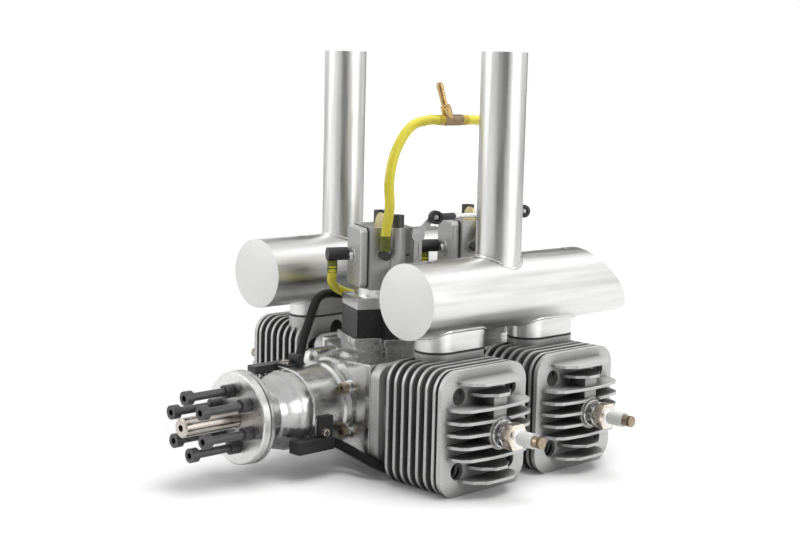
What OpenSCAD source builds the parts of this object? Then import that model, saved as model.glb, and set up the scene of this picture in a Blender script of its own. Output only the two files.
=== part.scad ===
// Flat four-cylinder petrol engine for a large model aircraft.
// X points to the right bank, Y to the firewall, Z up. The origin lies in the
// plane of the firewall, in the middle of its four screws. Sizes in millimetres.

/* [Cylinders] */
// Cylinder bore
bore_d = 45; // [42:0.5:45.5]
// Piston stroke
stroke = 35; // [32:0.5:35]
// Distance between the two cylinders of one bank
cyl_pitch = 84.5; // [80:0.5:92]
// How far the left bank sits behind the right bank
bank_stagger = 41; // [38:0.5:44]
// Firewall face to the rearmost cylinder
setback = 58.5; // [57:0.5:66]
// Width of a fin plate along the crank
fin_w = 73.7; // [70:0.1:76]
// Height of a fin plate
fin_h = 75.7; // [72:0.1:78]
// Thickness of a fin
fin_t = 2.1; // [1.6:0.1:2.6]
// Fins on each barrel
fin_count = 7; // [4:1:7]

/* [Prop end] */
// Radius of the propeller washer
washer_r = 28.3; // [26:0.1:30]
// Thickness of the propeller washer
washer_t = 5.9; // [4:0.1:7]
// Radius of the propeller bolt circle
prop_bolt_r = 16.9; // [16:0.1:17.2]
// Space kept open for the propeller, washer to bolt head
prop_gap = 30.5; // [20:0.5:34]
// Radius of the centre stud
stud_r = 5.9; // [5:0.1:6.2]

/* [Exhaust] */
// Radius of a muffler canister
can_r = 23.1; // [21:0.1:24]
// Height of the canister axis above the crank axis
can_z = 74; // [72:0.5:76]
// Sheet thickness of the canisters
can_wall = 1.2; // [0.8:0.1:2]
// Radius of the outlet stacks
stack_r = 14.4; // [12:0.1:15]
// Height of the stack tops above the crank axis
stack_top = 223.3; // [160:1:240]

/* [Carburettors] */
// Top face of a carburettor body above the crank axis
carb_top = 111; // [108:0.5:114]
// Radius of the carburettor throat
throat_r = 11.3; // [10:0.1:11.5]

/* [Mount] */
// Width between the firewall screws
mount_w = 92; // [84:1:100]
// Height between the firewall screws
mount_h = 86; // [80:1:90]
// Radius of the holes for the firewall screws
mount_hole_r = 3.15; // [2.2:0.05:3.3]
// Radius of the sensor leads
lead_r = 2.9; // [2:0.1:3]

/* [Hidden] */
$fn = 64;
throw = stroke / 2;
rod_len = 56;
pin_top = rod_len + throw;
case_w = 46;
case_top = 30.5;
fin_pitch = 6.5;
pair_turn = 24.02;
y_r1 = -setback - bank_stagger - cyl_pitch;
y_l1 = -setback - cyl_pitch;
y_r2 = -setback - bank_stagger;
y_l2 = -setback;
y_mid = (y_r1 + y_l2) / 2;
y_carb_f = (y_r1 + y_l1) / 2;
y_carb_r = (y_r2 + y_l2) / 2;
y_seam = y_r1 - 27.5;
y_nose = y_r1 - 58.3;
y_washer = y_nose - 41.4;
y_head = y_washer - prop_gap - 5;
stud_end = y_head - 4.2;
jr = 8.5;
ports_r = [y_r1 + 7.5, y_r2 + 7.5];
ports_l = [y_l1 - 7.5, y_l2 - 7.5];
can_x = 74.2;
port_x = 75;
stack_yr = -135.7;
stack_yl = -131.7;
foot_z = 58;
crank_z = mount_h / 2 - foot_z;
bolt_y = 3.6;
ball_d = 24.5;
ball_z = 118.5;
shaft_y = -1.6;
floor_z = -fin_h / 2 + 0.1;
cable_z = floor_z + lead_r + 0.05;

// ---- shared helpers ----

// Everything is drawn about the crank axis, then set below the origin
module on_axis() {
  translate([0, 0, crank_z]) children();
}

module along_y(y, r, len, fn = 64) {
  translate([0, y, 0]) rotate([-90, 0, 0]) cylinder(r = r, h = len, $fn = fn);
}

module along_x(x, r, len, fn = 64) {
  translate([x, 0, 0]) rotate([0, 90, 0]) cylinder(r = r, h = len, $fn = fn);
}

module turned_y(pts) {
  rotate([-90, 0, 0]) rotate_extrude($fn = 96) polygon(pts);
}

module turned_x(pts) {
  rotate([0, 90, 0]) rotate_extrude($fn = 96) polygon(pts);
}

module rod(p, q, r, fn = 48) {
  d = q - p;
  l = norm(d);
  translate(p) rotate([0, acos(d[2] / l), atan2(d[1], d[0])]) cylinder(r = r, h = l, $fn = fn);
}

module round_plate(x, t, w, h, c) {
  translate([x, -w / 2 + c, -h / 2]) cube([t, w - 2 * c, h]);
  translate([x, -w / 2, -h / 2 + c]) cube([t, w, h - 2 * c]);
  for (sy = [-1, 1], sz = [-1, 1])
    translate([0, sy * (w / 2 - c), sz * (h / 2 - c)]) along_x(x, c, t);
}

module stadium(z, h, half, r) {
  for (s = [-1, 1]) translate([0, s * (half - r), z]) cylinder(r = r, h = h);
  translate([-r, -(half - r), z]) cube([2 * r, 2 * (half - r), h]);
}

module at_bank(side, y) {
  translate([0, y, 0]) rotate([0, 0, side > 0 ? 0 : 180]) children();
}

module at_cylinders() {
  at_bank(1, y_r1) children();
  at_bank(1, y_r2) children();
  at_bank(-1, y_l1) children();
  at_bank(-1, y_l2) children();
}

// Intake frame: x across the carburettor, -y towards the propeller side cover
module at_intake(y) {
  translate([0, y, 0]) rotate([0, 0, -pair_turn]) children();
}

module at_intakes() {
  at_intake(y_carb_f) children();
  at_intake(y_carb_r) children();
}

module cap_screw(r, h, len, head_r, hex) {
  difference() {
    cylinder(r = head_r, h = h);
    translate([0, 0, h * 0.4]) cylinder(r = hex, h = h, $fn = 6);
  }
  translate([0, 0, -len]) cylinder(r = r, h = len + 0.01);
}

// Smooth path through points, then a tube along it
function curve(a, b, c, d, t) =
  0.5 * ((2 * b) + (c - a) * t + (2 * a - 5 * b + 4 * c - d) * t * t
  + (3 * b - a - 3 * c + d) * t * t * t);
function smooth(p, n) = concat(
  [for (i = [0 : len(p) - 2], j = [0 : n - 1])
    curve(p[max(i - 1, 0)], p[i], p[i + 1], p[min(i + 2, len(p) - 1)], j / n)],
  [p[len(p) - 1]]);
function unit(v) = v / norm(v);
function heading(p, i) = unit(p[min(i + 1, len(p) - 1)] - p[max(i - 1, 0)]);
function frames(p, i, n) = i >= len(p) ? [] :
  let(t = heading(p, i), m = unit(n - t * (n * t)))
  concat([[t, m]], frames(p, i + 1, m));

module tube_along(p, r, up, s = 10) {
  f = frames(p, 0, up);
  n = len(p);
  pts = [for (i = [0 : n - 1], k = [0 : s - 1])
    p[i] + r * (cos(360 * k / s) * f[i][1] + sin(360 * k / s) * cross(f[i][0], f[i][1]))];
  sides = [for (i = [0 : n - 2], k = [0 : s - 1])
    [i * s + k, (i + 1) * s + k, (i + 1) * s + (k + 1) % s, i * s + (k + 1) % s]];
  first = [for (k = [0 : s - 1]) k];
  last = [for (k = [s - 1 : -1 : 0]) (n - 1) * s + k];
  polyhedron(points = pts, faces = concat([first, last], sides));
}

// ---- crankcase ----

nose_screw_a = [30, 150, 210, 330];
cover_screw_a = [10, 90, 170, 235, 305];
carriers = [y_carb_f, y_mid, y_carb_r];
carrier_t = [16, 18.5, 16];

module intake_outline(z, h, g = 0) {
  translate([-16 - g, -22 - g, z]) cube([32 + 2 * g, 44 + 2 * g, h]);
  translate([-24 - g, -4.6 - g, z]) cube([48 + 2 * g, 18.6 + 2 * g, h]);
}

intake_screws = [[20.8, 10.9], [-20.8, 10.9], [12.5, 19], [-12.5, 19], [12.5, -19], [-12.5, -19]];

// Bank face that a cylinder is screwed to, tapering into the case
module bank_neck(side, y) {
  hull() {
    translate([side > 0 ? 42 : -case_w, y - 31.5, -31.5]) cube([case_w - 42, 63, 63]);
    translate([side > 0 ? 26 : -30, y - 27, -27]) cube([4, 54, 54]);
  }
}

module case_shell() {
  intersection() {
    translate([0, y_mid, 0]) rotate([0, 0, -pair_turn])
      translate([-80, -67.4, -33]) cube([160, 134.8, 33 + case_top]);
    translate([-40.5, y_r1 - 40, -31.65]) cube([81, 210, 40 + case_top]);
  }
  for (y = [y_r1, y_r2]) bank_neck(1, y);
  for (y = [y_l1, y_l2]) bank_neck(-1, y);
  difference() {
    hull() {
      along_y(y_seam + 5, 28.8, 2, 96);
      translate([42, y_r1 - 31.5, -31.5]) cube([case_w - 42, 20, 63]);
    }
    along_y(y_seam - 12, 33, 12.4, 96);
  }
  turned_y([[0, y_seam], [26.5, y_seam], [26.5, y_seam + 4], [27.2, y_seam + 7],
    [29, y_seam + 11], [31.4, y_seam + 14], [31.4, y_l2 + 14], [31.4, -26], [0, -26]]);
  translate([-20, 0, 24.5]) turned_y([[0, y_seam + 0.3], [3.2, y_seam + 1], [5.4, y_seam + 3],
    [6.5, y_seam + 6], [6.5, y_seam + 26], [0, y_seam + 26]]);
  for (a = nose_screw_a) rotate([0, -a, 0]) translate([28, 0, 0]) along_y(y_seam, 4.2, 16);
  for (a = cover_screw_a) rotate([0, -a, 0]) translate([33, 0, 0]) along_y(-52, 4.5, 25.8);
  for (y = [y_carb_f, y_carb_r]) {
    at_intake(y) intake_outline(27, 12.6, 0.3);
    at_intake(y) intake_outline(34.6, 5, 2.2);
  }
}

module main_case() {
  color("silver") on_axis() difference() {
    case_shell();
    along_y(y_r1 - 12.5, 28.5, -26 - y_r1 + 12.6, 96);
    along_y(y_seam - 1, 22.1, 4.1, 96);
    along_y(y_seam, 14, 30);
    along_y(y_seam + 4, 17.52, 16);
    for (y = [y_r1, y_r2]) translate([0, y, 0]) along_x(26, 26.3, 30, 96);
    for (y = [y_l1, y_l2]) translate([0, y, 0]) along_x(-56, 26.3, 30, 96);
    at_cylinders() for (sy = [-1, 1], sz = [-1, 1])
      translate([0, sy * 22.3, sz * 22.3]) along_x(36, 2.55, 12, 32);
    for (a = nose_screw_a) rotate([0, -a, 0]) translate([28, 0, 0])
      along_y(y_seam - 1, 2.05, 14.6, 32);
    for (a = cover_screw_a) rotate([0, -a, 0]) translate([33, 0, 0]) along_y(-32, 2.05, 7, 32);
    at_intakes() {
      translate([-12, -16, 20]) cube([24, 32, 25]);
      for (s = intake_screws) translate([s[0], s[1], 31]) cylinder(r = 1.55, h = 12, $fn = 32);
    }
    for (y = carriers) translate([0, y, -34]) cylinder(r = 2.55, h = 10, $fn = 32);
    translate([17, y_r1 - 17, 27]) cylinder(r = 1.5, h = 5, $fn = 24);
  }
}

module nose_case() {
  color("silver") on_axis() difference() {
    union() {
      turned_y([[0, y_nose], [24, y_nose], [24.9, y_nose + 0.9], [24.9, y_seam - 6],
        [26.5, y_seam - 4.6], [26.5, y_seam], [22, y_seam], [22, y_seam + 3], [0, y_seam + 3]]);
      for (a = nose_screw_a) rotate([0, -a, 0]) translate([28, 0, 0]) along_y(y_seam - 4, 4.2, 4);
      translate([19, y_nose + 2, -13.4]) cube([6, 12, 11.4]);
      translate([-13.9, y_nose + 2, 16]) cube([10.9, 12, 9]);
    }
    along_y(y_nose - 1, 17.52, 16.3, 96);
    along_y(y_nose, 14.5, 40);
    for (a = nose_screw_a) rotate([0, -a, 0]) translate([28, 0, 0]) {
      along_y(y_seam - 5, 2.2, 6, 32);
      along_y(y_seam - 9, 3.7, 5);
    }
    translate([0, y_nose + 7.3, -11]) along_x(20, 1.55, 6, 24);
    translate([-9, y_nose + 5.3, 19]) cylinder(r = 1.55, h = 8, $fn = 24);
  }
}

module rear_cover() {
  color("gainsboro") on_axis() difference() {
    union() {
      along_y(-26, 31.4, 6, 96);
      along_y(-46, 28.4, 20.1, 96);
      for (a = cover_screw_a) rotate([0, -a, 0]) translate([33, 0, 0]) along_y(-25.8, 4.5, 5.5);
    }
    along_y(-47, 17.52, 14, 96);
    along_y(-34, 13, 4);
    for (a = cover_screw_a) rotate([0, -a, 0]) translate([33, 0, 0]) along_y(-27, 2.2, 8, 32);
    for (a = [0, 90, 180, 270]) rotate([0, -a, 0]) translate([17, 0, 0])
      along_y(-29.5, 2.55, 10, 32);
    translate([-40, -50, -40]) cube([13.2, 24, 80]);
  }
}

module mount_leg(x, z) {
  l = norm([x, z]);
  translate([0, -20, 0]) rotate([0, -atan2(z, x), 0]) difference() {
    translate([10, 0, -4.5]) cube([l - 10, 12, 9]);
    translate([l / 2 + 9, -1, 12.5]) rotate([-90, 0, 0]) cylinder(r = 11, h = 14);
    translate([l / 2 + 9, -1, -12.5]) rotate([-90, 0, 0]) cylinder(r = 11, h = 14);
  }
}

module rear_mount() {
  zc = foot_z - mount_h / 2;
  feet = [for (sx = [-1, 1], sz = [-1, 1]) [sx * mount_w / 2, zc + sz * mount_h / 2]];
  color("gainsboro") on_axis() difference() {
    union() {
      along_y(-20, 24, 8, 96);
      for (f = feet) {
        mount_leg(f[0], f[1]);
        translate([f[0], 0, f[1]]) along_y(-20, 8, 20);
      }
    }
    for (f = feet) translate([f[0], 0, f[1]]) along_y(-21, mount_hole_r, 22);
    along_y(-21, 9, 12);
    for (a = [0, 90, 180, 270]) rotate([0, -a, 0]) translate([17, 0, 0]) {
      along_y(-21, 2.7, 10, 32);
      along_y(-17, 4.6, 10);
    }
  }
}

module case_screws() {
  color("darkgoldenrod") on_axis() {
    for (a = nose_screw_a) rotate([0, -a, 0]) translate([28, y_seam - 4, 0])
      rotate([90, 0, 0]) cap_screw(2, 4, 17, 3.5, 1.7);
    for (a = cover_screw_a) rotate([0, -a, 0]) translate([33, -20, 0])
      rotate([-90, 0, 0]) cap_screw(2, 4, 11, 3.5, 1.7);
    for (a = [0, 90, 180, 270]) rotate([0, -a, 0]) translate([17, -17, 0])
      rotate([-90, 0, 0]) cap_screw(2.5, 5, 11, 4.2, 2.2);
    for (y = carriers) translate([0, y, -30.5]) difference() {
      cylinder(r = 2.5, h = 6, $fn = 32);
      translate([0, 0, -1]) cylinder(r = 1.3, h = 4, $fn = 6);
    }
  }
}

module bearing(y) {
  difference() {
    along_y(y, 17.5, 10, 96);
    along_y(y - 1, jr + 0.03, 12, 96);
    for (e = [-0.01, 9.01]) difference() {
      along_y(y + e, 15, 1, 96);
      along_y(y + e - 1, 11, 3, 96);
    }
  }
}

module main_bearings() {
  color("lightsteelblue") on_axis() {
    bearing(y_nose + 5.1);
    bearing(y_seam + 4.1);
    for (y = carriers) bearing(y - 5);
    bearing(-43.1);
  }
}

module bearing_carriers() {
  color("silver") on_axis() for (i = [0 : 2]) difference() {
    intersection() {
      along_y(carriers[i] - carrier_t[i] / 2, 28.45, carrier_t[i], 96);
      translate([-26.8, carriers[i] - 15, -30]) cube([53.6, 30, 60]);
    }
    along_y(carriers[i] - 5.1, 17.52, 20, 96);
    along_y(carriers[i] - 20, 13, 40);
    translate([0, carriers[i], -30]) cylinder(r = 2.55, h = 5.6, $fn = 32);
  }
}

module shaft_seals() {
  color("black") on_axis() difference() {
    along_y(y_nose + 0.2, 17.5, 4.7, 96);
    along_y(y_nose - 1, jr + 0.05, 8, 96);
    difference() {
      along_y(y_nose + 2.5, 15, 4);
      along_y(y_nose, 10, 8);
    }
  }
}

// ---- cylinders ----

module head_fins() {
  spans = [21, 14.5, 31, 32, 33, 33, 32, 14.5, 24];
  intersection() {
    for (i = [0 : 8]) {
      a = spans[i];
      translate([0, 0, 1.3 + 7.35 * (i - 4) - 0.9]) linear_extrude(1.8)
        polygon([[109.5, -a], [116, -a], [122, -a + 2.5], [126, -a + 8],
          [131, -a + 12], [131, a - 12], [126, a - 8], [122, a - 2.5], [116, a], [109.5, a]]);
    }
    translate([18, 0, -45]) cylinder(r = 110, h = 90, $fn = 128);
  }
}

module cylinder_casting() {
  difference() {
    union() {
      along_x(38, 26, 9, 96);
      round_plate(46.5, 7.5, 63, 63, 8);
      along_x(50, 27, 62, 96);
      for (i = [0 : fin_count - 1])
        round_plate(107.1 - fin_t - fin_pitch * i, fin_t, fin_w, fin_h, 13);
      round_plate(109.2, 3, fin_w, fin_h, 13);
      head_fins();
      translate([110, -5.5, 0]) cube([15, 11, 22]);
      along_x(110, 10, 16.5, 64);
      translate([port_x, 7.5, 0]) stadium(20, 21.5, 25, 13);
      translate([0, 34.6, 0]) along_x(104, 3.2, 8, 32);
    }
    turned_x([[0, 37], [bore_d / 2, 37], [bore_d / 2, 88.5], [14, 88.5], [12, 97], [6, 107], [0, 107]]);
    along_x(106, 5.05, 21, 48);
    along_x(126, 10.4, 8, 64);
    for (sz = [-1, 1]) translate([36, -8, sz > 0 ? 20 : -25]) cube([26, 16, 5]);
    rod([59, 0, 14], [port_x, 7.5, 45], 8.5);
    for (s = [-1, 1]) translate([port_x, 7.5 + s * 20.6, 29]) cylinder(r = 2.05, h = 15, $fn = 32);
    for (sy = [-1, 1], sz = [-1, 1]) translate([0, sy * 22.3, sz * 22.3]) {
      along_x(45, 2.75, 12, 32);
      along_x(54, 5.3, 80, 48);
    }
  }
}

module cylinder_right_front() {
  color("gray") on_axis() at_bank(1, y_r1) cylinder_casting();
}

module cylinder_left_front() {
  color("gray") on_axis() at_bank(-1, y_l1) cylinder_casting();
}

module cylinder_right_rear() {
  color("gray") on_axis() at_bank(1, y_r2) cylinder_casting();
}

module cylinder_left_rear() {
  color("gray") on_axis() at_bank(-1, y_l2) cylinder_casting();
}

module cylinder_gaskets() {
  color("dimgray") on_axis() at_cylinders() difference() {
    round_plate(case_w, 0.5, 63, 63, 8);
    along_x(case_w - 1, 26.1, 3, 96);
    for (sy = [-1, 1], sz = [-1, 1]) translate([0, sy * 22.3, sz * 22.3])
      along_x(case_w - 1, 2.75, 3, 32);
  }
}

module cylinder_bolts() {
  color("dimgray") on_axis() at_cylinders() for (sy = [-1, 1], sz = [-1, 1])
    translate([54, sy * 22.3, sz * 22.3]) rotate([0, 90, 0]) cap_screw(2.5, 5, 17.5, 4.25, 2.2);
}

module plug_shells() {
  color("tan") on_axis() at_cylinders() {
    difference() {
      union() {
        along_x(107.5, 5, 19, 48);
        along_x(127.4, 7, 5.7, 64);
        along_x(126.2, 5.2, 2, 48);
        translate([133, 0, 0]) rotate([0, 90, 0]) rotate([0, 0, 30])
          cylinder(r = 8.66, h = 6.5, $fn = 6);
        along_x(139.4, 6.2, 1.6, 64);
      }
      along_x(100, 3.3, 38, 32);
      along_x(134, 4.13, 10, 48);
    }
    difference() {
      along_x(126.05, 8, 1.3, 64);
      along_x(125, 5.25, 4, 48);
    }
    translate([105, -0.6, 3.4]) cube([2.6, 1.2, 1.2]);
    translate([105, -0.6, -1]) cube([0.8, 1.2, 5]);
  }
}

module plug_insulators() {
  color("white") on_axis() at_cylinders() difference() {
    union() {
      along_x(109, 3.2, 25.5, 32);
      along_x(134.1, 4.1, 8, 48);
      along_x(141.3, 4.5, 10.7, 48);
    }
    along_x(100, 1.05, 60, 24);
  }
}

module plug_terminals() {
  color("goldenrod") on_axis() at_cylinders() {
    along_x(106.6, 1, 46, 24);
    difference() {
      along_x(152.05, 3.4, 5.95, 48);
      along_x(155.5, 3.6, 0.8, 48);
    }
    along_x(152.05, 2.9, 5.95, 48);
  }
}

// ---- exhaust ----

module can_cut(y_top, extra) {
  translate([-60, y_top - extra * 1.33, can_z + can_r]) rotate([41.35, 0, 0])
    translate([0, 0, -130]) cube([120, 95, 190]);
}

module can_body(front, y_top, r, inset) {
  difference() {
    translate([0, 0, can_z]) along_y(front + inset, r, 250, 96);
    can_cut(y_top, inset);
  }
}

module muffler(x, front, y_top, ports, stack) {
  sx = x > 0 ? 76 : -75;
  px = x > 0 ? port_x : -port_x;
  difference() {
    union() {
      difference() {
        union() {
          translate([x, 0, 0]) can_body(front, y_top, can_r, 0);
          for (p = ports) translate([px, p, 0]) stadium(43, 20, 25, 13);
        }
        translate([x, 0, 0]) can_body(front, y_top, can_r - can_wall, 1.6);
        for (p = ports) translate([px, p, 42]) cylinder(r = 9, h = 30);
      }
      intersection() {
        translate([x, 0, 0]) can_body(front, y_top, can_r, 0);
        for (p = ports, s = [-1, 1]) translate([px, p + s * 20.6, 48]) cylinder(r = 5, h = 60);
      }
    }
    for (p = ports, s = [-1, 1]) translate([px, p + s * 20.6, 42]) {
      cylinder(r = 2.2, h = 20, $fn = 32);
      translate([0, 0, 8]) cylinder(r = 4, h = 60);
    }
    translate([sx, stack, can_z]) cylinder(r = stack_r - 0.25, h = 40, $fn = 96);
  }
}

module muffler_right() {
  color("lightgray") on_axis() muffler(can_x, y_r1 - 30, y_r2 + 42, ports_r, stack_yr);
}

module muffler_left() {
  color("lightgray") on_axis() muffler(-can_x, y_l1 - 66, y_l2 + 17, ports_l, stack_yl);
}

module stack(x, y) {
  translate([x, y, 0]) difference() {
    union() {
      translate([0, 0, 88]) cylinder(r = stack_r - 0.3, h = 12, $fn = 96);
      translate([0, 0, 97.6]) cylinder(r = stack_r, h = stack_top - 97.6, $fn = 96);
    }
    translate([0, 0, 87]) cylinder(r = stack_r - 1.1, h = stack_top, $fn = 96);
  }
}

module exhaust_stacks() {
  color("silver") on_axis() {
    stack(76, stack_yr);
    stack(-75, stack_yl);
  }
}

module exhaust_gaskets() {
  color("dimgray") on_axis() at_cylinders() translate([port_x, 7.5, 0]) difference() {
    stadium(41.5, 1.5, 25, 13);
    translate([0, 0, 41]) cylinder(r = 9.5, h = 3);
    for (s = [-1, 1]) translate([0, s * 20.6, 41]) cylinder(r = 2.2, h = 3, $fn = 32);
  }
}

module muffler_bolts() {
  color("dimgray") on_axis() at_cylinders() for (s = [-1, 1])
    translate([port_x, 7.5 + s * 20.6, 50]) cap_screw(2, 4, 20, 3.5, 1.7);
}

// ---- intake and carburettors ----

module reed_blocks() {
  color("#202020") on_axis() at_intakes() {
    difference() {
      intake_outline(39.6, 18.5);
      translate([-12, -16, 39]) cube([24, 32, 20]);
      for (s = intake_screws) translate([s[0], s[1], 39]) cylinder(r = 1.7, h = 20, $fn = 32);
    }
    difference() {
      translate([12, 0, 0]) rotate([0, -90, 0]) linear_extrude(24)
        polygon([[58.1, -16.1], [55.5, -16.1], [42, -2.2], [42, 2.2], [55.5, 16.1], [58.1, 16.1]]);
      translate([10.5, 0, 0]) rotate([0, -90, 0]) linear_extrude(21)
        polygon([[59, -13.5], [56, -12.9], [45, -1.5], [45, 1.5], [56, 12.9], [59, 13.5]]);
      for (x = [-9.8, 1], y = [-11.5, 4.5]) translate([x, y, 41]) cube([8.8, 7, 16]);
    }
  }
}

module reed_petals() {
  color("#3a3a30") on_axis() at_intakes() for (s = [-1, 1])
    translate([11, 0, 0]) rotate([0, -90, 0]) linear_extrude(22)
      polygon([[53.9, s * 14.6], [43.2, s * 3.55], [42.96, s * 3.8], [53.66, s * 14.85]]);
}

module carb_adapters() {
  color("silver") on_axis() at_intakes() difference() {
    union() {
      intake_outline(58.1, 7.2);
      translate([0, 0, 65]) cylinder(r = 18, h = 5.8, $fn = 96);
      for (s = [-1, 1]) translate([s * 16.5, bolt_y, 65]) cylinder(r = 5.4, h = 5.8);
      translate([0, -11, 61.7]) {
        along_x(-23, 1.6, 8, 24);
        along_x(-22.8, 2, 1.6, 24);
      }
    }
    translate([0, 0, 57]) cylinder(r = throat_r, h = 15);
    for (s = intake_screws) translate([s[0], s[1], 0]) {
      translate([0, 0, 57]) cylinder(r = 1.7, h = 20, $fn = 32);
      translate([0, 0, 62.2]) cylinder(r = 2.85, h = 9, $fn = 32);
    }
    for (s = [-1, 1]) translate([s * 16.5, bolt_y, 60]) cylinder(r = 2.55, h = 12, $fn = 32);
    translate([0, -11, 61.7]) along_x(-24, 0.8, 8.5, 16);
  }
}

module carb_body() {
  difference() {
    union() {
      translate([-18, -14.6, 70.8]) cube([36, 29.2, carb_top - 70.8]);
      for (s = [-1, 1]) translate([s * 16.5, bolt_y, 70.8]) cylinder(r = 5.4, h = carb_top - 70.8);
      translate([0, shaft_y, 80]) along_x(-21, 5, 42);
      translate([0, shaft_y, 106.5]) along_x(-20.5, 3.2, 38.5);
      translate([0, -6.8, 93.5]) along_x(15, 4.2, 4.5);
      for (y = [-9.6, -4.6]) translate([0, y, 88.5]) along_x(-20, 2.3, 4, 32);
    }
    translate([0, 0, 70]) cylinder(r = throat_r, h = 50, $fn = 96);
    translate([0, 0, carb_top - 3]) cylinder(r1 = throat_r, r2 = throat_r + 3.1, h = 3.1, $fn = 64);
    for (s = [-1, 1]) translate([s * 16.5, bolt_y, 70]) cylinder(r = 2.55, h = 50, $fn = 32);
    translate([0, shaft_y, 80]) along_x(-30, 2.33, 60, 48);
    translate([0, shaft_y, 106.5]) along_x(-30, 1.53, 47.5, 32);
    translate([0, -6.8, 93.5]) along_x(12, 2.05, 10, 24);
    for (y = [-9.6, -4.6]) translate([0, y, 88.5]) along_x(-22, 1.55, 8, 24);
    translate([0, 10.5, 93]) along_x(14, 1, 6, 24);
  }
}

module carb_body_front() {
  color("darkgray") on_axis() at_intake(y_carb_f) carb_body();
}

module carb_body_rear() {
  color("darkgray") on_axis() at_intake(y_carb_r) carb_body();
}

module cover_outline(w, z0, z1, t) {
  linear_extrude(t) polygon([[-w + 3, z0], [w - 3, z0], [w, z0 + 3], [w, z1 - 3],
    [w - 3, z1], [-w + 3, z1], [-w, z1 - 3], [-w, z0 + 3]]);
}

// Cover with a bevelled front edge
module cover_plate(w, z0, z1, t, e) {
  hull() {
    cover_outline(w, z0, z1, t - e);
    cover_outline(w - e, z0 + e, z1 - e, t);
  }
}

module metering_covers() {
  color("darkgray") on_axis() at_intakes() difference() {
    union() {
      translate([0, 18.4, 0]) rotate([90, 0, 0]) cover_plate(13, 74, 107, 3.2, 1.2);
      translate([0, 20, 90.5]) rotate([90, 0, 0]) cylinder(r = 9, h = 3);
    }
    translate([0, 25, 90.5]) rotate([90, 0, 0]) cylinder(r = 1, h = 12, $fn = 24);
  }
}

module pump_covers() {
  color("darkgray") on_axis() at_intakes() difference() {
    union() {
      translate([0, -15.2, 0]) rotate([90, 0, 0]) cover_plate(13, 74, 107, 4.4, 1.9);
      translate([0, -19.5, 90.5]) rotate([90, 0, 0]) cylinder(r = 6.5, h = 1.5);
    }
    translate([0, -14, 90.5]) rotate([90, 0, 0]) cylinder(r = 1.6, h = 8, $fn = 24);
    translate([-9, -18, 91.5]) rotate([90, 0, 0]) cylinder(r = 2.05, h = 5, $fn = 24);
  }
}

module carb_gaskets() {
  color("#202020") on_axis() at_intakes() {
    for (y = [-14.65, 15.2]) translate([0, y, 0]) rotate([90, 0, 0])
      cover_outline(13.3, 73.8, 107.2, 0.5);
  }
}

module carb_bolts() {
  color("#202020") on_axis() at_intakes() {
    for (s = [-1, 1]) translate([s * 16.5, bolt_y, carb_top]) cap_screw(2.5, 8, 49, 4.4, 2.3);
    for (s = intake_screws) translate([s[0], s[1], 62.2]) cap_screw(1.5, 3, 30, 2.65, 1.25);
    translate([0, -16.2, 90.5]) rotate([90, 0, 0]) {
      cylinder(r = 1.55, h = 5, $fn = 24);
      difference() {
        translate([0, 0, 4.8]) cylinder(r = 3, h = 2, $fn = 48);
        translate([-4, -0.5, 6]) cube([8, 1, 2]);
      }
    }
    for (y = [-9.6, -4.6]) translate([0, y, 88.5]) {
      along_x(-21, 1.5, 7, 24);
      along_x(-26, 2.2, 5.5, 32);
    }
  }
}

module throttle() {
  translate([0, shaft_y, 80]) along_x(-23.5, 2.3, 46, 48);
  translate([0, shaft_y, 80]) along_x(-24.5, 3.6, 2.2, 48);
  translate([0, 0, 79.4]) cylinder(r = throat_r - 0.15, h = 1.2, $fn = 96);
  translate([0, shaft_y, 80]) along_x(22.5, 5, 4.3, 48);
  translate([24.4, shaft_y, 77.8]) cube([2.4, 17.5, 4.4]);
  difference() {
    translate([24.4, 11.3, 77.8]) cube([2.9, 5.4, 29.2]);
    translate([26.7, 13.3, 91.5]) cube([2, 1.4, 9.5]);
  }
  for (q = [[12.9, 87.3], [15, 85.2]]) translate([0, q[0], q[1]]) along_x(27, 1.1, 1, 24);
  translate([0, 14, 107]) along_x(24.3, 4.4, 3.1, 48);
  translate([24.5, 14, 107]) rotate([-42.4, 0, 0]) translate([0, -1.8, 0]) cube([2.4, 3.6, 15.6]);
  translate([0, ball_d, ball_z]) along_x(24.3, 3, 2.8, 48);
  translate([0, ball_d, ball_z]) along_x(26.9, 1.2, 1.9, 24);
  translate([30, ball_d, ball_z]) sphere(r = 2.4, $fn = 32);
}

module throttle_front() {
  color("gray") on_axis() at_intake(y_carb_f) throttle();
}

module throttle_rear() {
  color("gray") on_axis() at_intake(y_carb_r) throttle();
}

module choke() {
  translate([0, shaft_y, 106.5]) along_x(-25, 1.5, 42.3, 32);
  translate([0, shaft_y + 0.6, 108.1]) rotate([90, 0, 0]) cylinder(r = 11, h = 1.2, $fn = 96);
  translate([0, shaft_y, 106.5]) along_x(-25, 3, 2.6, 48);
  translate([-25, shaft_y - 2, 95]) cube([1.8, 4, 11.5]);
  translate([0, shaft_y, 96.6]) along_x(-27, 1.6, 3.8, 32);
}

module choke_front() {
  color("goldenrod") on_axis() at_intake(y_carb_f) choke();
}

module choke_rear() {
  color("goldenrod") on_axis() at_intake(y_carb_r) choke();
}

// Ball centres of the two levers, in the frame of the whole engine
ball_rel = [30 * cos(pair_turn) + ball_d * sin(pair_turn),
  -30 * sin(pair_turn) + ball_d * cos(pair_turn)];
ball_f = [ball_rel[0], y_carb_f + ball_rel[1], ball_z];
ball_r = [ball_rel[0], y_carb_r + ball_rel[1], ball_z];

module link_end(p, r, h) {
  translate(p) rotate([0, 90, -pair_turn]) translate([0, 0, -h / 2]) cylinder(r = r, h = h, $fn = 48);
}

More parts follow.
